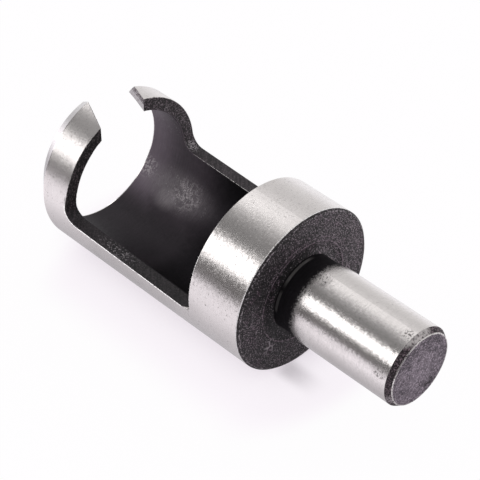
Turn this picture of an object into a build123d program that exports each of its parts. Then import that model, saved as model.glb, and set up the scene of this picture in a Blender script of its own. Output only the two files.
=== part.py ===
from build123d import *
import math
import os

# A plug cutter turned, bored and milled from one steel bar.
# It lies on its barrel with the window up. +X runs from the cutting tooth to the end of the shank.
# Lengths along the cutter are counted from the tip of the tooth.

# barrel and bore
barrel_diameter = 20.0
wall = 1.65
bore_depth = 25.6
drill_point_angle = 118.0

# cutting ring: outside bevel, and the relief that falls back behind the tooth
bevel_length = 1.98
relief_per_turn = 1.2

# chip slot through the ring, cut askew; the wall on its -Y side carries the tooth
slot_width = 5.96
slot_skew = 23.0
slot_centre_along = 2.85
slot_centre_across = 0.58

# window milled across the barrel; its floor falls slightly towards the collar
ring_length = 6.1
window_length = 20.15
window_floor_front = -0.62
window_floor_rear = -1.32
window_front_radius = 1.6
window_rear_radius = 0.4
rim_break = 0.1

# collar
collar_length = 7.55
collar_edge_break = 0.25
root_recess_diameter = 12.4
root_recess_depth = 0.2

# shank
shank_diameter = 9.5
shank_length = 16.6
neck_relief = 0.2
neck_length = 2.9
neck_blend = 0.35
shank_chamfer_length = 0.67
shank_chamfer_depth = 0.43

# overshoot of a cutting tool past the metal
past = 1.0

barrel_radius = barrel_diameter / 2
bore_radius = barrel_radius - wall
shank_radius = shank_diameter / 2
neck_radius = shank_radius - neck_relief
window_end = ring_length + window_length
collar_end = window_end + collar_length
overall_length = collar_end + shank_length


def slot_side(along, side):
    """Distance across the cutter of one wall of the slot, side +1 or -1, at a place along it."""
    skew = math.radians(slot_skew)
    middle = slot_centre_across - math.tan(skew) * (along - slot_centre_along)
    return middle + side * slot_width / 2 / math.cos(skew)


def tooth_angle():
    """Angle about the axis, from +Y towards +Z, at which the tooth stands on the bore."""
    return math.degrees(math.acos(slot_side(0, -1) / bore_radius))


def turned_blank():
    """Barrel, collar, root recess, neck and shank as one turned profile."""
    front = -past
    recess_radius = root_recess_diameter / 2
    neck_end = collar_end + neck_length
    steps = Polyline(
        (front, 0, 0),
        (front, 0, barrel_radius),
        (collar_end - collar_edge_break, 0, barrel_radius),
        (collar_end, 0, barrel_radius - collar_edge_break),
        (collar_end, 0, recess_radius),
    )
    recess = ThreePointArc(
        (collar_end, 0, recess_radius),
        (collar_end - root_recess_depth, 0, (recess_radius + neck_radius) / 2),
        (collar_end, 0, neck_radius),
    )
    shank = Polyline(
        (collar_end, 0, neck_radius),
        (neck_end, 0, neck_radius),
        (neck_end + neck_blend, 0, shank_radius),
        (overall_length - shank_chamfer_length, 0, shank_radius),
        (overall_length, 0, shank_radius - shank_chamfer_depth),
        (overall_length, 0, 0),
        (front, 0, 0),
    )
    return revolve(make_face([*steps.edges(), *recess.edges(), *shank.edges()]), Axis.X)


def drilled_bore():
    """Bore with the cone that a drill leaves at its bottom."""
    point = bore_radius / math.tan(math.radians(drill_point_angle / 2))
    outline = Polyline(
        (-2 * past, 0, 0),
        (-2 * past, 0, bore_radius),
        (bore_depth, 0, bore_radius),
        (bore_depth + point, 0, 0),
        (-2 * past, 0, 0),
    )
    return revolve(make_face(outline.edges()), Axis.X)


def window_cut():
    """Cutter for the window, drawn from the side and run right across the barrel."""
    top = barrel_radius + past
    corners = Polyline(
        (ring_length, 0, top),
        (ring_length, 0, window_floor_front),
        (window_end, 0, window_floor_rear),
        (window_end, 0, top),
        (ring_length, 0, top),
    )
    side = make_face(corners.edges())
    low = side.vertices().sort_by(Axis.Z)[:2].sort_by(Axis.X)
    side = fillet(low[:1], window_front_radius)
    rear = side.vertices().group_by(Axis.X)[-1].sort_by(Axis.Z)[:1]
    side = fillet(rear, window_rear_radius)
    return extrude(side, barrel_radius + past, dir=(0, 1, 0), both=True)


def window_rim(body, radius):
    """Edges that the window leaves on the barrel or on the bore, at this distance from the axis."""
    rim = []
    for edge in body.edges():
        places = [edge.position_at(share) for share in (0, 0.25, 0.5, 0.75, 1)]
        on_round = all(abs(math.hypot(place.Y, place.Z) - radius) < 0.01 for place in places)
        in_window = all(ring_length - 0.01 < place.X < window_end + 0.01 for place in places)
        bore_bottom = all(abs(place.X - bore_depth) < 0.01 for place in places)
        if on_round and in_window and not bore_bottom:
            rim.append(edge)
    return rim


def burrs_off(body):
    """Breaks the sharp rims of the window, outside and in the bore."""
    body = chamfer(window_rim(body, barrel_radius), rim_break)
    return fillet(window_rim(body, bore_radius), rim_break)


def slot_cut():
    """Straight milled slot through the top of the ring, turned askew about the upright."""
    reach = ring_length + 4 * past
    tool = Box(reach, slot_width, barrel_radius + past, align=(Align.CENTER, Align.CENTER, Align.MIN))
    return Pos(slot_centre_along, slot_centre_across, 0) * Rot(0, 0, -slot_skew) * tool


def relief_cut():
    """Sweep along a shallow helix that bevels the mouth and lets it fall back behind the tooth."""
    turn = 350.0
    start_angle = tooth_angle() - (360.0 - turn)
    start_rise = -relief_per_turn * (tooth_angle() - start_angle) / 360.0
    slope = bevel_length / wall
    section = Polyline(
        (bore_radius - past, 0, -slope * past),
        (barrel_radius + past, 0, bevel_length + slope * past),
        (barrel_radius + past, 0, -3 * past - relief_per_turn),
        (bore_radius - past, 0, -3 * past - relief_per_turn),
        (bore_radius - past, 0, -slope * past),
    )
    path = Helix(pitch=relief_per_turn, height=relief_per_turn * turn / 360.0, radius=barrel_radius)
    tool = sweep(make_face(section.edges()), path=path, is_frenet=True)
    angle = math.radians(start_angle)
    place = Plane(origin=(start_rise, 0, 0), x_dir=(0, math.cos(angle), math.sin(angle)), z_dir=(1, 0, 0))
    return place.location * tool


def plug_cutter():
    body = turned_blank() - drilled_bore()
    body = burrs_off(body - window_cut())
    body = body - relief_cut()
    body = body - slot_cut()
    return Pos(-overall_length / 2, 0, barrel_radius) * body


os.makedirs("parts", exist_ok=True)
cutter = plug_cutter()
print("solids", len(cutter.solids()), "volume", round(cutter.volume, 1))
print("box", cutter.bounding_box())
export_step(cutter, "parts/plug_cutter.step")
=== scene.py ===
import bpy
import math
from mathutils import Matrix, Vector

# A wood plug cutter turned from one steel bar, lying on a pale studio floor.
# Its outside, bevel and shank are ground bright; everything else is still black from hardening.

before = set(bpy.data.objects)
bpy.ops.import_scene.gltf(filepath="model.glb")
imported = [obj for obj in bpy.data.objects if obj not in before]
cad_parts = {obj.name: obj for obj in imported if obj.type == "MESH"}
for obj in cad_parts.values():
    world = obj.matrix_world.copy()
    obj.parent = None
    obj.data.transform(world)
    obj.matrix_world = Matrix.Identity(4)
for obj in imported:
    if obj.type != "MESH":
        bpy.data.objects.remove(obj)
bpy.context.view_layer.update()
cutter = bpy.data.objects["plug_cutter"]
print("frame loaded:", len(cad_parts), "node")


# small helpers for node trees

def addNode(tree, kind, **settings):
    made = tree.nodes.new(kind)
    for name, value in settings.items():
        setattr(made, name, value)
    return made


def feed(tree, socket, value):
    # an output is linked, a plain number or colour is typed in
    if isinstance(value, bpy.types.NodeSocket):
        tree.links.new(value, socket)
    else:
        socket.default_value = value


def calc(tree, operation, *values):
    made = addNode(tree, "ShaderNodeMath", operation=operation)
    for socket, value in zip(made.inputs, values):
        feed(tree, socket, value)
    return made.outputs[0]


def plus(tree, one, other):
    return calc(tree, "ADD", one, other)


def minus(tree, one, other):
    return calc(tree, "SUBTRACT", one, other)


def timesPlus(tree, value, factor, more):
    return calc(tree, "MULTIPLY_ADD", value, factor, more)


def gap(tree, one, other):
    return calc(tree, "ABSOLUTE", minus(tree, one, other))


def both(tree, *masks):
    made = masks[0]
    for mask in masks[1:]:
        made = calc(tree, "MULTIPLY", made, mask)
    return made


def either(tree, *masks):
    made = masks[0]
    for mask in masks[1:]:
        made = calc(tree, "MAXIMUM", made, mask)
    return made


def without(tree, mask):
    return minus(tree, 1.0, mask)


def hypotenuse(tree, one, other):
    return calc(tree, "SQRT", plus(tree, both(tree, one, one), both(tree, other, other)))


def arrows(tree, operation, *values):
    # calc for vectors
    made = addNode(tree, "ShaderNodeVectorMath", operation=operation)
    for socket, value in zip(made.inputs, values):
        feed(tree, socket, value)
    return made


def splitPlace(tree, kind):
    # x, y and z of a texture coordinate
    where = addNode(tree, "ShaderNodeTexCoord")
    split = addNode(tree, "ShaderNodeSeparateXYZ")
    tree.links.new(where.outputs[kind], split.inputs[0])
    return split.outputs[0], split.outputs[1], split.outputs[2]


def joinPlace(tree, *values):
    made = addNode(tree, "ShaderNodeCombineXYZ")
    for socket, value in zip(made.inputs, values):
        feed(tree, socket, value)
    return made.outputs[0]


def rise(tree, value, low, high):
    # 0 below low, 1 above high, smooth between
    made = addNode(tree, "ShaderNodeMapRange", interpolation_type="SMOOTHSTEP")
    feed(tree, made.inputs["Value"], value)
    feed(tree, made.inputs["From Min"], low)
    feed(tree, made.inputs["From Max"], high)
    return made.outputs["Result"]


def fall(tree, value, low, high):
    return without(tree, rise(tree, value, low, high))


def between(tree, value, low, high, soft):
    return both(tree, rise(tree, value, low - soft, low), fall(tree, value, high, high + soft))


lineCore = 0.4  # share of a line's half width that is at full strength


def line(tree, value, middle, half):
    # a thin line where a measure passes one value
    return fall(tree, gap(tree, value, middle), half * lineCore, half)


def spread(tree, value, least, most):
    # 0..1 stretched to least..most
    made = addNode(tree, "ShaderNodeMapRange")
    feed(tree, made.inputs["Value"], value)
    feed(tree, made.inputs["To Min"], least)
    feed(tree, made.inputs["To Max"], most)
    return made.outputs["Result"]


def graded(tree, value, low, high, least, most):
    # least below low, most above high
    return spread(tree, rise(tree, value, low, high), least, most)


def blend(tree, kind, mask, under, over):
    made = addNode(tree, "ShaderNodeMix", data_type=kind)
    first, result = {"FLOAT": (2, 0), "VECTOR": (4, 1), "RGBA": (6, 2)}[kind]
    feed(tree, made.inputs[0], mask)
    feed(tree, made.inputs[first], under)
    feed(tree, made.inputs[first + 1], over)
    return made.outputs[result]


def blendNumber(tree, mask, under, over):
    return blend(tree, "FLOAT", mask, under, over)


def blendArrow(tree, mask, under, over):
    return blend(tree, "VECTOR", mask, under, over)


def blendColour(tree, mask, under, over):
    under = (*under, 1.0) if isinstance(under, tuple) else under
    over = (*over, 1.0) if isinstance(over, tuple) else over
    return blend(tree, "RGBA", mask, under, over)


topLevel = 2.0  # the highest level in a list for rampOver


def rampOver(tree, value, stops):
    # follows a list of (place, level) with straight lines between
    made = addNode(tree, "ShaderNodeValToRGB")
    first, last = stops[0][0], stops[-1][0]
    marks = made.color_ramp.elements
    for _ in range(len(stops) - len(marks)):
        marks.new(1.0)
    for mark, (place, level) in zip(marks, stops):
        mark.position = (place - first) / (last - first)
        mark.color = (level / topLevel, level / topLevel, level / topLevel, 1.0)
    feed(tree, made.inputs["Fac"], calc(tree, "DIVIDE", minus(tree, value, first), last - first))
    return both(tree, made.outputs["Color"], topLevel)


def noise(tree, place, stretch, detail, roughness):
    made = addNode(tree, "ShaderNodeTexNoise", noise_dimensions="3D")
    feed(tree, made.inputs["Vector"], arrows(tree, "MULTIPLY", place, stretch).outputs[0])
    feed(tree, made.inputs["Scale"], 1.0)
    feed(tree, made.inputs["Detail"], detail)
    feed(tree, made.inputs["Roughness"], roughness)
    return made.outputs[0]


def newPaint(name):
    paint = bpy.data.materials.new(name)
    paint.use_nodes = True
    paint.node_tree.nodes.clear()
    return paint, paint.node_tree


# Masks are written as rows of rules that are multiplied. A rule is a measure with a shape and its limits,
# the name of another mask, or a plain share. Where a mask has several rows in a list, the strongest counts.

def rowMask(tree, at, row):
    if isinstance(row, str):
        return at[row]
    masks = []
    for rule in row:
        if isinstance(rule, tuple):
            measure, shape, *limits = rule
            masks.append(shape(tree, at[measure], *limits))
        else:
            masks.append(at[rule] if isinstance(rule, str) else rule)
    return both(tree, *masks)


def addMasks(tree, at, plan):
    for name, rows in plan.items():
        rows = rows if isinstance(rows, list) else [rows]
        at[name] = either(tree, *[rowMask(tree, at, row) for row in rows])


def addSums(tree, at, plan):
    # the same rows, added up
    for name, rows in plan.items():
        at[name] = rowMask(tree, at, rows[0])
        for row in rows[1:]:
            at[name] = plus(tree, at[name], rowMask(tree, at, row))


view = {
    "place": (0.101541, -0.100809, 0.139463),
    "turnDegrees": (48.2969, 0.2342, 45.3154),
    "lens": 130.94,
    "filmWidth": 36.0,
    "nearest": 0.01,
}


def setCamera():
    lens = bpy.data.cameras.new("camera")
    lens.lens = view["lens"]
    lens.sensor_width = view["filmWidth"]
    lens.sensor_fit = "HORIZONTAL"
    lens.clip_start = view["nearest"]
    made = bpy.data.objects.new("camera", lens)
    made.location = view["place"]
    made.rotation_euler = [math.radians(a) for a in view["turnDegrees"]]
    bpy.context.collection.objects.link(made)
    bpy.context.scene.camera = made


setCamera()
print("camera set")


# lamps and cards run along the cutter; around is the angle round its axis from +Y up over the top
softboxes = {
    "keySoftbox": {"around": 144.1, "far": 0.60, "half": 14.3, "length": 1.2, "along": -0.37, "bright": 1.50},
    "topSoftbox": {"around": 71.0, "far": 0.55, "half": 9.5, "length": 0.40, "along": -0.62, "bright": 1.6},
}
blackCards = {
    "lowCard": {"around": 178.8, "far": 0.087, "half": 17.2, "length": 0.6, "along": -0.07, "grey": 0.135,
                "tint": (1.0, 0.96, 0.965)},
}
axisHeight = 0.01  # metres over the floor
wattsForOne = 4.0  # to the square metre, for a lamp that shows as a strength of 1


def placeAcross(made, card):
    # faces the cutter's axis from the given angle
    turn = math.radians(card["around"])
    out = Vector((0.0, math.cos(turn), math.sin(turn)))
    made.location = Vector((card["along"], 0.0, axisHeight)) + out * card["far"]
    made.rotation_mode = "QUATERNION"
    lengthways = Vector((1.0, 0.0, 0.0))
    made.rotation_quaternion = Matrix((lengthways, out.cross(lengthways), out)).transposed().to_quaternion()


def makeSoftbox(name, card):
    lamp = bpy.data.lights.new(name, "AREA")
    lamp.shape = "RECTANGLE"
    lamp.size = card["length"]
    lamp.size_y = 2 * card["far"] * math.tan(math.radians(card["half"]))
    lamp.energy = card["bright"] * wattsForOne * lamp.size * lamp.size_y
    made = bpy.data.objects.new(name, lamp)
    bpy.context.collection.objects.link(made)
    placeAcross(made, card)
    made.visible_camera = False
    made.visible_diffuse = False


def makeSheet(name, wide, high, paint):
    # a flat sheet, given by half its width and height
    mesh = bpy.data.meshes.new(name)
    corners = [(-wide, -high, 0), (wide, -high, 0), (wide, high, 0), (-wide, high, 0)]
    mesh.from_pydata(corners, [], [(0, 1, 2, 3)])
    mesh.materials.append(paint)
    made = bpy.data.objects.new(name, mesh)
    bpy.context.collection.objects.link(made)
    return made


def makeBlackCard(name, card):
    paint, tree = newPaint(name)
    glow = addNode(tree, "ShaderNodeEmission")
    glow.inputs["Color"].default_value = (*card["tint"], 1.0)
    glow.inputs["Strength"].default_value = card["grey"]
    out = addNode(tree, "ShaderNodeOutputMaterial")
    tree.links.new(glow.outputs[0], out.inputs["Surface"])
    made = makeSheet(name, card["length"] / 2, card["far"] * math.tan(math.radians(card["half"])), paint)
    placeAcross(made, card)
    made.visible_camera = False
    made.visible_diffuse = False
    made.visible_shadow = False
    made.visible_transmission = False


# the floor as the camera sees it; lengths in metres
floorPlan = {
    "half": 3.0,
    "colour": (0.985, 0.925, 0.985),
    "plainNear": 0.87,                # share that shows as plain white, beside the cutter and far off; lower beside it, as painted shade
    "plainFar": 0.97,
    "plainInShadow": 0.10,            # how much of that is left close to the cutter
    # painted shade: a purple tint on the floor beside the cutter
    "shadeTintNear": (1.0, 0.955, 1.0),
    "tintFar": (1.0, 0.992, 1.0),
    "tintInShadow": (1.0, 0.93, 1.0),
    "shadowReach": 0.0045,
    "shadowSamples": 6,
    "shadowLean": (0.3, -1.0, 0.45),  # which way the floor looks for what shades it
    "middleAlong": -0.004,            # the ground beside the cutter: its middle, half its length,
    "halfLength": 0.014,              # and how much faster it fades past the ends
    "pastEnds": 2.0,
    "streakAcross": -0.0025,          # the darkest shade lies under the neck, beside the collar's foot
}
floorMasks = {
    "farOff": (("beside", rise, 0.009, 0.016),),
    "streak": (("offStreak", fall, 0.0003, 0.0021), ("along", rise, 0.0075, 0.0088),
               ("along", fall, 0.0090, 0.0145), 0.56),
    "open": (("openness", rise, 0.6, 1.0),),
}

# the floor as the metal sees it: a glow with painted shade beside the cutter and painted light and shade in
# front of the tooth
floorInMetal = {
    "near": 0.57,                     # how bright it glows for the metal, as painted shade and light: beside the cutter, around it, far off
    "around": 1.05,
    "far": 0.865,
    "nearTint": (1.0, 0.974, 1.022),
    "backTint": (1.0, 0.998, 1.018),
    "cutterHalf": 0.025,
    "underShank": 1.13,
    "atRing": 1.10,
    "underBarrel": 0.90,
    # painted light and shade that the bevel sees in front of the tooth: metres along or across, and how
    # bright
    "inFrontAlong": ((-0.060, 1.30), (-0.055, 1.20), (-0.051, 0.88), (-0.047, 0.58), (-0.044, 0.54),
                     (-0.041, 0.58), (-0.038, 0.70), (-0.036, 0.80), (-0.032, 1.00)),
    "inFrontAcross": ((0.000, 1.25), (0.004, 1.40), (0.007, 1.15), (0.009, 0.85), (0.012, 0.58),
                      (0.015, 0.60), (0.017, 0.66), (0.020, 0.85), (0.026, 1.00)),
}
metalMasks = {
    "atBack": (("across", rise, 0.0, 0.02),),
    "around": (("away", rise, 0.006, 0.026),),
    "far": (("away", rise, 0.03, 0.16),),
    "underShank": (("along", rise, 0.001, 0.008), ("across", between, -0.030, -0.009, 0.003)),
    "atRing": (("along", fall, -0.030, -0.022),),
    "underBarrel": (("along", between, -0.019, -0.008, 0.004), ("across", between, -0.017, -0.008, 0.004)),
    "pastFront": (("along", rise, -0.058, -0.053),),
    "ahead": (("along", fall, -0.034, -0.031), ("across", between, -0.008, 0.028, 0.010)),
}


def floorShade(tree):
    # how open the floor is, leaning towards what shades it
    shade = addNode(tree, "ShaderNodeAmbientOcclusion", samples=floorPlan["shadowSamples"])
    shade.inputs["Distance"].default_value = floorPlan["shadowReach"]
    feed(tree, shade.inputs["Normal"], joinPlace(tree, *Vector(floorPlan["shadowLean"]).normalized()))
    return shade.outputs["AO"]


def floorForCamera(tree, at):
    # its tint, and how much of it shows as plain white
    plan = floorPlan
    pastEnds = minus(tree, gap(tree, at["along"], plan["middleAlong"]), plan["halfLength"])
    pastEnds = both(tree, calc(tree, "MAXIMUM", pastEnds, 0.0), plan["pastEnds"])
    at["beside"] = hypotenuse(tree, pastEnds, at["across"])
    at["offStreak"] = gap(tree, at["across"], plan["streakAcross"])
    at["openness"] = floorShade(tree)
    addMasks(tree, at, floorMasks)
    # painted shade beside the cutter: a purple tint here and less plain white below
    tint = blendColour(tree, at["farOff"], plan["shadeTintNear"], plan["tintFar"])
    tint = blendColour(tree, at["open"], plan["tintInShadow"], tint)
    plain = both(tree, spread(tree, at["openness"], plan["plainInShadow"], 1.0),
                 blendNumber(tree, at["farOff"], plan["plainNear"], plan["plainFar"]))
    return tint, both(tree, plain, without(tree, at["streak"]))


def floorForMetal(tree, at):
    # its tint, and how bright the metal sees it: painted shade and light
    plan = floorInMetal
    pastEnd = minus(tree, calc(tree, "ABSOLUTE", at["along"]), plan["cutterHalf"])
    at["away"] = hypotenuse(tree, calc(tree, "MAXIMUM", pastEnd, 0.0), at["across"])
    addMasks(tree, at, metalMasks)
    tint = blendColour(tree, at["atBack"], plan["nearTint"], plan["backTint"])
    level = blendNumber(tree, at["around"], plan["near"], plan["around"])
    level = blendNumber(tree, at["far"], level, plan["far"])
    for place in ("underShank", "atRing", "underBarrel"):
        level = both(tree, level, blendNumber(tree, at[place], 1.0, plan[place]))
    inFront = blendNumber(tree, at["pastFront"], rampOver(tree, at["across"], plan["inFrontAcross"]),
                          rampOver(tree, at["along"], plan["inFrontAlong"]))
    return tint, blendNumber(tree, at["ahead"], level, inFront)


def makeFloor():
    paint, tree = newPaint("paleFloor")
    along, across, _ = splitPlace(tree, "Object")
    at = {"along": along, "across": across}
    shownTint, plain = floorForCamera(tree, at)
    metalTint, level = floorForMetal(tree, at)
    rays = addNode(tree, "ShaderNodeLightPath")
    byMetal = rays.outputs["Is Glossy Ray"]
    matt = addNode(tree, "ShaderNodeBsdfDiffuse")
    matt.inputs["Color"].default_value = (*floorPlan["colour"], 1.0)
    glow = addNode(tree, "ShaderNodeEmission")
    feed(tree, glow.inputs["Color"], blendColour(tree, byMetal, shownTint, metalTint))
    feed(tree, glow.inputs["Strength"], blendNumber(tree, byMetal, 1.0, level))
    mixer = addNode(tree, "ShaderNodeMixShader")
    seen = either(tree, rays.outputs["Is Camera Ray"], rays.outputs["Is Transmission Ray"])
    feed(tree, mixer.inputs[0], either(tree, both(tree, seen, plain), byMetal))
    tree.links.new(matt.outputs[0], mixer.inputs[1])
    tree.links.new(glow.outputs[0], mixer.inputs[2])
    out = addNode(tree, "ShaderNodeOutputMaterial")
    tree.links.new(mixer.outputs[0], out.inputs["Surface"])
    made = makeSheet("floor", floorPlan["half"], floorPlan["half"], paint)


roomPlan = {
    "onMatt": 1.0,
    "tilt": 0.50,                     # the far side of the room lights matt surfaces more than the near side
    "seen": 1.0,
    # what the metal sees of the room: degrees round the cutter's axis from +Y over the top, and how bright
    "sweep": ((0, 0.86), (14, 0.79), (28, 0.71), (40, 0.73), (51, 0.93), (61, 1.15), (73, 0.90), (87, 0.50),
              (99, 0.29), (111, 0.21), (126, 0.16), (160, 0.16), (180, 0.16)),
}


def makeRoom():
    room = bpy.data.worlds.new("room")
    bpy.context.scene.world = room
    room.use_nodes = True
    tree = room.node_tree
    tree.nodes.clear()
    rays = addNode(tree, "ShaderNodeLightPath")
    _, across, up = splitPlace(tree, "Generated")
    level = rampOver(tree, calc(tree, "DEGREES", calc(tree, "ARCTAN2", up, across)), roomPlan["sweep"])
    onMatt = timesPlus(tree, across, roomPlan["tilt"] * roomPlan["onMatt"], roomPlan["onMatt"])
    level = blendNumber(tree, rays.outputs["Is Diffuse Ray"], level, onMatt)
    level = blendNumber(tree, rays.outputs["Is Camera Ray"], level, roomPlan["seen"])
    sky = addNode(tree, "ShaderNodeBackground")
    sky.inputs["Color"].default_value = (1.0, 1.0, 1.0, 1.0)
    feed(tree, sky.inputs["Strength"], level)
    out = addNode(tree, "ShaderNodeOutputWorld")
    tree.links.new(sky.outputs[0], out.inputs["Surface"])


makeFloor()
makeRoom()
for name, card in softboxes.items():
    makeSoftbox(name, card)
for name, card in blackCards.items():
    makeBlackCard(name, card)
print("studio built")


mmPerMetre = 1000.0

# the cutter's own sizes, in mm from the tooth and from its axis, or in degrees round it
cutterPlan = {
    "middleAlong": 25.2,
    "axisHigh": 10.0,
    "barrelRadius": 10.0,
    "boreRadius": 8.35,
    "neckRadius": 4.55,
    "endRadius": 4.32,
    "bevelSlope": 1.2,
    "reliefPerTurn": 1.2,
    "toothDegrees": 100.0,
    "slotMiddleAlong": 2.85,
    "slotMiddleAcross": 0.58,
    "slotSkewDegrees": 23.0,
    "slotHalf": 2.98,
    "ringLength": 6.1,
    "floorFront": -0.62,
    "floorFall": 0.03474,
    "frontRadius": 1.6,
    "windowEnd": 26.25,
    "collarEdge": 33.55,
    "shankGroundFrom": 36.60,
    "shankGroundTo": 49.73,
    # how the finish departs from them
    "flatEdge": 9.9,
    "lapRadius": 1.2,                 # the ground finish laps over the flat's rear corner
    "outsideRagged": 0.10,
    "shankRagged": 1.0,
    "slotRagged": 1.2,
    "boreRagged": 2.0,
}

# grain and scratches: how many to the mm along, across and up, detail and roughness
grainPlan = {
    "broad": ((0.35, 0.35, 0.35), 3.0, 0.55),
    "tint": ((0.9, 0.9, 0.9), 2.0, 0.5),
    "mottle": ((1.3, 1.3, 1.3), 3.0, 0.6),
    "coarse": ((2.4, 2.4, 2.4), 2.0, 0.6),
    "grit": ((3.6, 3.6, 3.6), 2.0, 0.6),
    "dust": ((6.0, 6.0, 6.0), 1.0, 0.5),
    "streaks": ((6.0, 0.8, 0.8), 3.0, 0.6),
    "hair": ((9.5, 1.5, 1.5), 2.0, 0.6),
    "curls": ((1.15, 1.15, 1.15), 0.6, 0.5),
}
latheGrain = ((6.0, 2.5, 2.5), 3.0, 0.6)
milledGrain = ((3.2, 0.4, 0.4), 2.0, 0.6)
milledSlant = 0.9
scratchGrain = {"scale": 0.8, "thin": 0.08}

# worn places: middle (along, across, up) and reach in mm
wornPlaces = {
    "boreRub": ((7.2, 6.3, -5.4), (7.4, 3.3, 3.3)),
    "boreLip": ((1.5, 6.6, -5.0), (2.0, 1.8, 1.8)),
    "boreLoops": ((8.5, 6.4, -5.4), (3.0, 2.6, 2.6)),
    "boreSmear": ((6.3, 5.4, -6.3), (2.9, 2.2, 2.2)),
    "boreTop": ((3.0, 7.4, 3.6), (3.6, 2.4, 3.8)),
    "wallScuff": ((6.1, 6.0, 6.65), (0.5, 0.8, 0.7)),
    "cornerScuff": ((6.9, 9.1, -0.2), (1.3, 1.0, 1.0)),
    "flatScuff": ((14.2, -9.2, -0.8), (4.2, 1.2, 0.7)),
    "faceScuff": ((33.8, -5.1, -4.8), (0.5, 1.2, 1.7)),
    "shankStart": ((37.5, -0.8, 4.7), (1.3, 1.1, 0.8)),
    "shankEndTop": ((49.1, -0.8, 4.7), (0.9, 1.1, 0.7)),
    "shankEndSide": ((48.7, -4.5, 1.5), (1.2, 0.8, 1.0)),
    "endSide": ((50.1, -4.3, -1.7), (0.6, 1.0, 1.3)),
    "endSpots": ((50.4, 1.7, -3.0), (0.6, 1.6, 1.4)),
}
wornCore = 0.2  # share of its reach over which a worn place is at full strength


def measureCutter(tree):
    # the place on the cutter, in mm
    plan = cutterPlan
    x, y, z = splitPlace(tree, "Object")
    along = timesPlus(tree, x, mmPerMetre, plan["middleAlong"])
    across = both(tree, y, mmPerMetre)
    up = timesPlus(tree, z, mmPerMetre, -plan["axisHigh"])
    radius = hypotenuse(tree, across, up)
    acrossShare, upShare = calc(tree, "DIVIDE", across, radius), calc(tree, "DIVIDE", up, radius)
    return {
        "along": along, "across": across, "up": up, "radius": radius,
        "degrees": calc(tree, "DEGREES", calc(tree, "ARCTAN2", up, across)),
        "place": joinPlace(tree, along, across, up),
        "lathe": joinPlace(tree, radius, acrossShare, upShare),      # fine outwards, long round the axis
        "outward": joinPlace(tree, 0.0, acrossShare, upShare),
    }


def addGrain(tree, at):
    for name, plan in grainPlan.items():
        at[name] = noise(tree, at["place"], *plan)
    at["turned"] = noise(tree, at["lathe"], *latheGrain)
    slanted = joinPlace(tree, both(tree, at["across"], milledSlant), 0.0, 0.0)
    at["milled"] = noise(tree, arrows(tree, "ADD", at["place"], slanted).outputs[0], *milledGrain)
    scratches = addNode(tree, "ShaderNodeTexVoronoi", feature="DISTANCE_TO_EDGE")
    feed(tree, scratches.inputs["Vector"], at["place"])
    feed(tree, scratches.inputs["Scale"], scratchGrain["scale"])
    at["scratches"] = fall(tree, scratches.outputs["Distance"], 0.0, scratchGrain["thin"])


def addWornPlaces(tree, at):
    # 1 in the middle of a worn place, 0 at its edge
    for name, (middle, reach) in wornPlaces.items():
        away = arrows(tree, "SUBTRACT", at["place"], middle).outputs[0]
        away = arrows(tree, "DIVIDE", away, reach).outputs[0]
        at[name] = fall(tree, arrows(tree, "LENGTH", away).outputs["Value"], wornCore, 1.0)


def wander(tree, at, grain, much):
    # a grain that moves an edge to and fro
    return both(tree, minus(tree, at[grain], 0.5), much)


# how far a place lies past or off an edge of the cutter, in mm: what is measured, and the edge
edgeMeasures = {
    "pastRing": ("along", "ringLength"),
    "pastWindow": ("along", "windowEnd"),
    "pastCollar": ("along", "collarEdge"),
    "pastNeck": ("along", "shankGroundFrom"),
    "pastShank": ("along", "shankGroundTo"),
    "offBarrel": ("radius", "barrelRadius"),
    "offBore": ("radius", "boreRadius"),
    "offNeck": ("radius", "neckRadius"),
    "offEnd": ("radius", "endRadius"),
}


def measureEdges(tree, at):
    plan = cutterPlan
    for name, (measure, edge) in edgeMeasures.items():
        at[name] = minus(tree, at[measure], plan[edge])
    at["raggedBarrel"] = plus(tree, at["offBarrel"], wander(tree, at, "grit", plan["outsideRagged"]))
    at["raggedSlot"] = timesPlus(tree, at["grit"], plan["slotRagged"], at["offBarrel"])
    shankRagged = plus(tree, wander(tree, at, "coarse", plan["shankRagged"]),
                       wander(tree, at, "dust", plan["shankRagged"]))
    at["raggedShank"] = minus(tree, at["pastNeck"], shankRagged)
    at["depth"] = timesPlus(tree, at["mottle"], plan["boreRagged"], at["along"])
    measureWindow(tree, at)
    measureMouth(tree, at)


def measureWindow(tree, at):
    # outside the window's outline, seen square on from the side; level counts from its sloping floor
    plan = cutterPlan
    at["level"] = timesPlus(tree, at["pastRing"], plan["floorFall"], at["up"])
    ahead = calc(tree, "MAXIMUM", minus(tree, plan["frontRadius"], at["pastRing"]), 0.0)
    under = calc(tree, "MAXIMUM", minus(tree, plan["floorFront"] + plan["frontRadius"], at["level"]), 0.0)
    at["offWindow"] = minus(tree, hypotenuse(tree, ahead, under), plan["frontRadius"])
    at["lapAlong"] = plus(tree, at["pastWindow"], plan["lapRadius"])
    at["lapAcross"] = plus(tree, at["across"], plan["flatEdge"] - plan["lapRadius"])
    at["lapAway"] = minus(tree, hypotenuse(tree, at["lapAlong"], at["lapAcross"]), plan["lapRadius"])


def measureMouth(tree, at):
    # the bevel falls back behind the tooth, turn by turn, and the slot lies askew
    plan = cutterPlan
    turnBack = both(tree, minus(tree, at["degrees"], plan["toothDegrees"]), 1 / 360)
    share = calc(tree, "WRAP", turnBack, 1.0, 0.0)
    bevelStart = timesPlus(tree, at["offBore"], plan["bevelSlope"], both(tree, share, plan["reliefPerTurn"]))
    at["pastBevel"] = minus(tree, at["along"], bevelStart)
    skew = math.radians(plan["slotSkewDegrees"])
    pastSlotMiddle = minus(tree, at["along"], plan["slotMiddleAlong"])
    slotMiddle = timesPlus(tree, pastSlotMiddle, -math.tan(skew), plan["slotMiddleAcross"])
    fromMiddle = both(tree, gap(tree, at["across"], slotMiddle), math.cos(skew))
    at["offSlot"] = gap(tree, fromMiddle, plan["slotHalf"])


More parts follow.
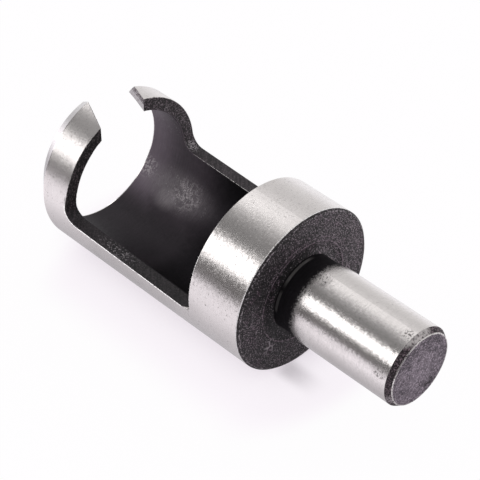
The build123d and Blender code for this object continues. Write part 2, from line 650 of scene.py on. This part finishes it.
# where each finish lies
zoneMasks = {
    # ground outside, black on the window's broken rim, and bright again just beside it
    "besideWindow": (("across", fall, -7.5, -6.5), ("pastWindow", fall, -0.15, -0.05),
                     ("up", fall, 1.0, 3.0)),
    "blackBreak": ("besideWindow", ("offWindow", fall, 0.13, 0.18)),
    "outside": (("raggedBarrel", rise, -0.05, -0.01), ("pastCollar", fall, 0.0, 0.04),
                ("blackBreak", without)),
    "frontRim": (("pastWindow", between, 0.0, 0.3, 0.01), ("offBarrel", rise, -0.09, -0.06),
                 ("up", rise, 0.0, 0.5)),
    "flatCorner": (("lapAlong", rise, 0.0, 0.1), ("lapAcross", fall, -0.1, 0.0),
                   ("lapAway", rise, -0.02, 0.05), ("up", fall, -1.1, -0.9),
                   ("pastWindow", fall, -0.01, 0.01), 0.66),
    "rimLine": [("besideWindow", ("pastWindow", fall, -1.35, -0.45),
                 ("offWindow", between, 0.225, 0.30, 0.03)),
                (("across", fall, -8.6, -7.6), ("up", rise, -1.0, -0.7),
                 ("pastWindow", between, 0.02, 0.10, 0.02))],
    "windowRim": (("offBarrel", rise, -0.10, -0.05), "rimLine", ("dust", rise, 0.36, 0.46)),
    "innerRim": (("offBore", between, 0.05, 0.08, 0.015), ("across", rise, 0.0, 1.0),
                 ("level", rise, -0.70, -0.67), ("pastRing", rise, 1.5, 1.9),
                 ("pastWindow", fall, -0.95, -0.65), ("grit", rise, 0.40, 0.54)),
    # the mouth
    "bevel": (("pastBevel", fall, 0.05, 0.10),),
    "slotFace": (("offSlot", fall, 0.03, 0.06), ("up", rise, 4.0, 4.1), ("pastRing", fall, -0.08, -0.03)),
    # the shank and its ends
    "neckBlend": (("pastNeck", rise, -0.6, -0.5), ("pastNeck", fall, 0.5, 0.7)),
    "shank": (("offNeck", rise, -0.05, -0.01), ("raggedShank", rise, -0.60, 0.60),
              ("pastShank", fall, -0.06, 0.0)),
    "endEdge": (("pastShank", rise, 0.57, 0.61), ("offEnd", rise, -0.11, -0.08), ("dust", rise, 0.34, 0.52)),
    # painted highlight: a bright patch on the top of the shank's end chamfer
    "endTop": (("pastShank", rise, -0.08, 0.0), ("offEnd", rise, -0.02, 0.04), ("up", rise, 4.05, 4.45),
               ("across", fall, 1.1, 2.1), ("grit", rise, 0.28, 0.56), 0.55),
    # painted highlight: a thin light arc at the neck's root, only over some angles round the axis
    "arcs": [(("degrees", between, 92, 122, 20.05), 0.30), (("degrees", between, 150, 172, 8.6), 0.15)],
    "neckArc": (("pastCollar", line, 0.55, 0.24), ("offNeck", fall, 0.05, 0.10), "arcs"),
    "bright": ["outside", "frontRim", "flatCorner", "bevel", "slotFace", "shank", "innerRim", "endEdge",
               "endTop", "neckArc"],
    "ground": ["outside", "shank"],
    # the collar's broken edge
    "collarRim": (("offBarrel", rise, -0.10, -0.05), ("pastCollar", line, -0.01, 0.10),
                  ("dust", rise, 0.36, 0.52)),
    "collarCorner": (("offBarrel", line, -0.26, 0.09), ("pastCollar", rise, 0.15, 0.20),
                     ("pastCollar", fall, 0.45, 0.55), ("dust", rise, 0.36, 0.52),
                     ("grit", rise, 0.44, 0.60)),
    "collarLine": (("offBarrel", line, -0.12, 0.09), ("pastCollar", between, 0.05, 0.20, 0.02),
                   ("coarse", graded, 0.40, 0.56, 0.25, 1.0)),
    # black places
    "boreCorner": (("offBore", between, 0.02, 0.12, 0.02), ("pastRing", between, -0.2, 0.3, 0.1)),
    "inBore": (("offBore", fall, 0.11, 0.15), ("pastCollar", fall, -0.55, -0.45)),
    "wall": (("pastRing", fall, 0.10, 0.20), ("up", rise, -0.4, 1.2)),
    "face": (("pastCollar", rise, -0.15, -0.05), ("offNeck", rise, 0.03, 0.07),
             ("pastCollar", fall, 0.45, 0.55)),
    "neck": (("pastCollar", rise, -0.05, 0.05), ("offNeck", fall, 0.03, 0.07),
             ("pastCollar", fall, 6.45, 6.55)),
    "endChamfer": (("pastShank", rise, 0.0, 0.04), ("pastShank", fall, 0.62, 0.65)),
    "endFace": (("pastShank", rise, 0.61, 0.65), ("offEnd", fall, -0.06, 0.0)),
}


brightSteel = {
    "colour": (0.775, 0.735, 0.724),
    "dullColour": (0.61, 0.575, 0.565),
    "slotColour": (0.60, 0.57, 0.575),
    "slotFleckColour": (0.085, 0.055, 0.065),
    # painted highlight: near-white colour on the collar's and the window's rims
    "rimHighlightColour": (0.95, 0.93, 0.93),
    "pitColour": (0.06, 0.052, 0.052),
    "roughness": 0.24,
    "streakRoughness": 0.14,
    "dullRoughness": 0.42,
    "bevelRoughness": 0.11,
    "ringRoughness": 0.06,            # added to the rest
    "dustHeight": 0.0062,             # heights in mm
    "gritHeight": 0.0020,
    "streakHeight": 0.002,
    "speckHeight": 0.0030,
    "rimHeight": 0.030,
    "hairTilt": 0.12,
    "gritTilt": 0.125,                # on the barrel; the shank has more
    "shankGritTilt": 0.18,
    "rimLean": (0.0, -0.719, 0.695),
}
brightMasks = {
    "dull": [(("broad", rise, 0.42, 0.75), 0.35), (("streaks", rise, 0.45, 0.75), 0.45),
             (("dust", rise, 0.46, 0.66), 0.30)],
    "slotFlecks": (("raggedSlot", rise, -0.25, -0.05), ("dust", fall, 0.52, 0.60)),
    "scuffed": ["shankStart", "shankEndTop", "shankEndSide", ("slotFace", 0.4)],
    "pits": [("scuffed", ("grit", rise, 0.50, 0.62), 0.85),
             (("dust", rise, 0.69, 0.75), ("mottle", rise, 0.46, 0.58), 0.38)],
    "rims": ["collarRim", "windowRim"],
    "dulled": [("scuffed", 0.8), ("slotFace", 0.8), ("collarRim", 0.8)],
    "onRing": (("along", fall, 5.0, 9.0),),
    "onShank": (("radius", fall, 5.0, 6.0),),
    "specks": [(("dust", rise, 0.54, 0.66),), ("scuffed", ("dust", rise, 0.42, 0.56))],
}


def brightFinish(tree, at):
    steel = brightSteel
    addMasks(tree, at, brightMasks)
    colour = blendColour(tree, at["dull"], steel["colour"], steel["dullColour"])
    slotColour = blendColour(tree, at["slotFlecks"], steel["slotColour"], steel["slotFleckColour"])
    colour = blendColour(tree, at["slotFace"], colour, slotColour)
    colour = blendColour(tree, at["pits"], colour, steel["pitColour"])
    # painted highlight: the rims are whitened so they show as bright lines
    colour = blendColour(tree, at["rims"], colour, steel["rimHighlightColour"])

    roughness = plus(tree, wander(tree, at, "streaks", steel["streakRoughness"]), steel["roughness"])
    roughness = blendNumber(tree, at["dulled"], roughness, steel["dullRoughness"])
    roughness = timesPlus(tree, at["onRing"], steel["ringRoughness"], roughness)
    roughness = blendNumber(tree, at["bevel"], roughness, steel["bevelRoughness"])

    height = both(tree, at["grit"], steel["gritHeight"])
    height = timesPlus(tree, at["dust"], steel["dustHeight"], height)
    height = timesPlus(tree, at["streaks"], steel["streakHeight"], height)
    height = timesPlus(tree, at["specks"], -steel["speckHeight"], height)
    height = timesPlus(tree, at["collarRim"], steel["rimHeight"], height)
    return colour, roughness, height


# each black finish: its dark and light grains
blackSteel = {
    "nearWindow": ((0.004, 0.003, 0.004), (0.040, 0.030, 0.036)),
    "farWindow": ((0.012, 0.009, 0.011), (0.066, 0.052, 0.060)),
    "nearWall": ((0.010, 0.0085, 0.009), (0.064, 0.054, 0.056)),
    "farWall": ((0.012, 0.008, 0.010), (0.120, 0.090, 0.106)),
    "face": ((0.0, 0.0, 0.0), (0.238, 0.194, 0.222)),
    # the bore's three are painted shade, darker from the mouth inwards
    "mouthBore": ((0.122, 0.094, 0.120), (0.196, 0.155, 0.193)),
    "middleBore": ((0.044, 0.032, 0.042), (0.072, 0.054, 0.070)),
    "deepBore": ((0.022, 0.020, 0.0225), (0.030, 0.027, 0.031)),
    "neck": ((0.013, 0.0115, 0.013), (0.030, 0.027, 0.031)),
    "endFace": ((0.09, 0.075, 0.09), (0.49, 0.42, 0.48)),
    "endChamfer": ((0.012, 0.007, 0.010), (0.17, 0.125, 0.145)),
}
blackDetails = {
    "wornColour": (0.36, 0.325, 0.345),
    "rubbedColour": (0.56, 0.51, 0.53),
    "purple": (0.150, 0.080, 0.125),
    "ringColour": (0.21, 0.155, 0.19),
    "spotColour": (0.016, 0.013, 0.014),
    "black": (0.0, 0.0, 0.0),
    "boreRoughness": 0.50,
    "coarseRoughness": 0.60,
    "neckRoughness": 0.7,
    "gritRoughness": 0.3,
    "shine": 0.30,
    "gritHeight": 0.014,              # heights in mm; coarse is for the faces
    "coarseHeight": 0.022,
    "boreGritHeight": 0.003,
    "boreStreakHeight": 0.008,
    "turnedHeight": 0.020,
    # painted sheen and shade: how light the turned face is round the axis, in degrees
    "faceSheenSectors": ((-180, 0.74), (-160, 0.58), (-125, 0.47), (-60, 0.60), (0, 0.95), (20, 1.0), (60, 1.0),
                    (90, 0.62), (120, 0.30), (150, 0.19), (165, 0.42), (180, 0.74)),
}
blackMasks = {
    "coarseGrain": (("dust", rise, 0.50, 0.60), ("grit", graded, 0.40, 0.62, 0.45, 1.0)),
    "softGrain": (("streaks", graded, 0.3, 0.7, 0.32, 0.68),),
    "farSide": (("across", rise, -2.0, 3.0),),
    # painted shade: the face is darker in the hollow round the neck, but not at its upper far side
    "hollow": (("radius", graded, 4.5, 7.2, 0.25, 1.0),),
    "upperFar": (("degrees", between, 15, 62, 22.92),),
    # painted shade in the bore: darker deeper in, and darkest on its lower near side
    "below": (("across", fall, 1.5, 5.8), ("up", fall, -2.0, 4.0)),
    "middle": [(("depth", rise, 2.5, 7.5),), "below"],
    "deep": [(("depth", rise, 9.0, 16.5),), ("below", 0.6)],
    "darkest": ("below", 0.35),
    "metal": [("inBore", "deep"), "neck", ("endFace", 0.8)],
    "coarsePlaces": ["face", "wall", "endFace"],
    # purple temper colours and turning rings
    "purplePlaces": ["face", ("wall", 0.5), ("inBore", 0.12)],
    "purple": ("purplePlaces", ("tint", rise, 0.50, 0.66), ("dust", rise, 0.48, 0.62), 0.3),
    "ringLines": [(("radius", line, 6.24, 0.11),), (("radius", line, 6.72, 0.10), ("up", rise, 3.0, 5.0))],
    "rings": ("face", "ringLines", ("coarse", rise, 0.38, 0.50), ("dust", rise, 0.30, 0.46), 0.6),
    # rubbed and scuffed places
    "haze": [("boreRub", ("hair", graded, 0.3, 0.7, 0.20, 0.42)),
             ("boreSmear", ("hair", graded, 0.3, 0.7, 0.36, 0.58))],
    "curlLines": [(("curls", line, 0.43, 0.030),), (("curls", line, 0.50, 0.030),),
                  (("curls", line, 0.58, 0.030),)],
    "loops": [("curlLines", "boreLoops", ("grit", graded, 0.42, 0.60, 0.25, 1.3)),
              ("boreLoops", ("dust", rise, 0.60, 0.68), ("coarse", rise, 0.44, 0.54)),
              ("boreLip", ("grit", rise, 0.47, 0.60), 0.60)],
    "loopMarks": ("loops", 0.70),
    "rubs": [("boreLoops", ("coarse", rise, 0.50, 0.58), 0.45),
             ("boreRub", ("dust", rise, 0.52, 0.64), ("mottle", rise, 0.48, 0.62)),
             ("boreLip", ("grit", rise, 0.46, 0.60)),
             ("boreTop", ("hair", rise, 0.35, 0.7), 0.12),
             ("endSide", ("dust", rise, 0.36, 0.56)),
             ("wallScuff", ("dust", rise, 0.50, 0.60), 0.45),
             ("cornerScuff", ("dust", rise, 0.46, 0.56), 0.90),
             ("flatScuff", ("dust", rise, 0.54, 0.64), ("coarse", rise, 0.42, 0.56), 0.8),
             ("faceScuff", "scratches")],
    "fleckedPlaces": ["face", ("wall", ("farSide", spread, 0.25, 1.0))],
    "corners": ["collarCorner", ("boreCorner", ("coarseGrain", spread, 0.2, 0.5))],
    "worn": ["haze", ("rubs", 0.80), ("fleckedPlaces", ("dust", rise, 0.62, 0.72), 0.45), ("corners", 0.65)],
    "endMarks": [("endSpots", ("coarse", rise, 0.46, 0.56)), (("grit", rise, 0.66, 0.70),)],
    "spots": ("endFace", "endMarks", 0.8),
}
blackSums = {
    "milledGrain": [(("milled", rise, 0.36, 0.68), 0.40), ("coarseGrain", 0.72)],
    "turnedGrain": [(("turned", rise, 0.35, 0.65), 0.15), ("coarseGrain", 0.9)],
    "endGrain": [("coarseGrain", 0.7), (("mottle", rise, 0.3, 0.7), 0.3), (("up", rise, 0.5, 3.6), -0.15),
                 (("radius", fall, 0.3, 3.2), 0.12)],
}


def grained(tree, grain, name):
    return blendColour(tree, grain, *blackSteel[name])


def blackFinish(tree, at):
    details = blackDetails
    addMasks(tree, at, blackMasks)
    addSums(tree, at, blackSums)

    # the window's floor and walls, from the near side to the far one
    colour = blendColour(tree, at["farSide"], grained(tree, at["milledGrain"], "nearWindow"),
                         grained(tree, at["milledGrain"], "farWindow"))
    wallColour = blendColour(tree, at["farSide"], grained(tree, at["coarseGrain"], "nearWall"),
                             grained(tree, at["coarseGrain"], "farWall"))
    colour = blendColour(tree, at["wall"], colour, wallColour)

    # the bore, from its mouth inwards, with painted shade: darker deeper in and darker still on its lower
    # near side
    boreColour = blendColour(tree, at["middle"], grained(tree, at["softGrain"], "mouthBore"),
                             grained(tree, at["softGrain"], "middleBore"))
    boreColour = blendColour(tree, at["deep"], boreColour, grained(tree, at["softGrain"], "deepBore"))
    boreColour = blendColour(tree, at["darkest"], boreColour, details["black"])
    colour = blendColour(tree, at["inBore"], colour, boreColour)

    # the turned rear face, the shank's end and the neck
    # painted sheen and shade round the axis, and painted shade in the hollow round the neck
    faceSheenAndShade = rampOver(tree, at["degrees"], details["faceSheenSectors"])
    hollow = blendNumber(tree, at["upperFar"], at["hollow"], 1.0)
    faceGrain = both(tree, at["turnedGrain"], faceSheenAndShade, hollow)
    colour = blendColour(tree, at["face"], colour, grained(tree, faceGrain, "face"))
    colour = blendColour(tree, at["endFace"], colour, grained(tree, at["endGrain"], "endFace"))
    colour = blendColour(tree, at["endChamfer"], colour, grained(tree, at["coarseGrain"], "endChamfer"))
    colour = blendColour(tree, at["neck"], colour, grained(tree, at["softGrain"], "neck"))

    for mask, over in (("purple", "purple"), ("rings", "ringColour"), ("collarLine", "spotColour"),
                       ("worn", "wornColour"), ("loopMarks", "rubbedColour"), ("spots", "spotColour")):
        colour = blendColour(tree, at[mask], colour, details[over])

    roughness = blendNumber(tree, at["inBore"], details["coarseRoughness"], details["boreRoughness"])
    roughness = blendNumber(tree, at["neck"], roughness, details["neckRoughness"])
    roughness = plus(tree, wander(tree, at, "grit", details["gritRoughness"]), roughness)

    rough = blendNumber(tree, at["coarsePlaces"], details["gritHeight"], details["coarseHeight"])
    rough = blendNumber(tree, at["inBore"], rough, details["boreGritHeight"])
    height = both(tree, at["grit"], rough)
    height = timesPlus(tree, at["streaks"], both(tree, at["inBore"], details["boreStreakHeight"]), height)
    height = timesPlus(tree, at["turned"], both(tree, at["face"], details["turnedHeight"]), height)
    return colour, roughness, height


def grindingTilt(tree, at):
    # fine grinding lines turn the ground surface a little, round the axis only
    steel = brightSteel
    surface = addNode(tree, "ShaderNodeNewGeometry").outputs["Normal"]
    # the grinding runs out smoothly over the shoulder of the neck
    surface = blendArrow(tree, at["neckBlend"], surface, at["outward"])
    # the rubbed rim of the window leans up and catches the key light
    surface = blendArrow(tree, at["windowRim"], surface, steel["rimLean"])
    roundAxis = arrows(tree, "CROSS_PRODUCT", (1.0, 0.0, 0.0), surface).outputs[0]
    gritTilt = blendNumber(tree, at["onShank"], steel["gritTilt"], steel["shankGritTilt"])
    much = plus(tree, wander(tree, at, "grit", gritTilt), wander(tree, at, "hair", steel["hairTilt"]))
    tilt = addNode(tree, "ShaderNodeVectorMath", operation="SCALE")
    feed(tree, tilt.inputs[0], roundAxis)
    feed(tree, tilt.inputs["Scale"], both(tree, at["ground"], much))
    return arrows(tree, "NORMALIZE", arrows(tree, "ADD", surface, tilt.outputs[0]).outputs[0]).outputs[0]


def makeSteel():
    paint, tree = newPaint("groundAndBlackenedSteel")
    at = measureCutter(tree)
    addGrain(tree, at)
    addWornPlaces(tree, at)
    measureEdges(tree, at)
    addMasks(tree, at, zoneMasks)
    brightColour, brightRoughness, brightHeight = brightFinish(tree, at)
    blackColour, blackRoughness, blackHeight = blackFinish(tree, at)

    bump = addNode(tree, "ShaderNodeBump")
    bump.inputs["Strength"].default_value = 1.0
    bump.inputs["Distance"].default_value = 1 / mmPerMetre
    feed(tree, bump.inputs["Height"], blendNumber(tree, at["bright"], blackHeight, brightHeight))
    feed(tree, bump.inputs["Normal"], grindingTilt(tree, at))

    shader = addNode(tree, "ShaderNodeBsdfPrincipled")
    shader.inputs["Specular IOR Level"].default_value = blackDetails["shine"]
    feed(tree, shader.inputs["Base Color"], blendColour(tree, at["bright"], blackColour, brightColour))
    feed(tree, shader.inputs["Metallic"], either(tree, at["bright"], at["metal"]))
    feed(tree, shader.inputs["Roughness"], blendNumber(tree, at["bright"], blackRoughness, brightRoughness))
    feed(tree, shader.inputs["Normal"], bump.outputs[0])
    out = addNode(tree, "ShaderNodeOutputMaterial")
    tree.links.new(shader.outputs[0], out.inputs["Surface"])
    return paint


cutter.material_slots[0].material = makeSteel()
print("steel finished")

bpy.context.scene.view_settings.view_transform = "Standard"
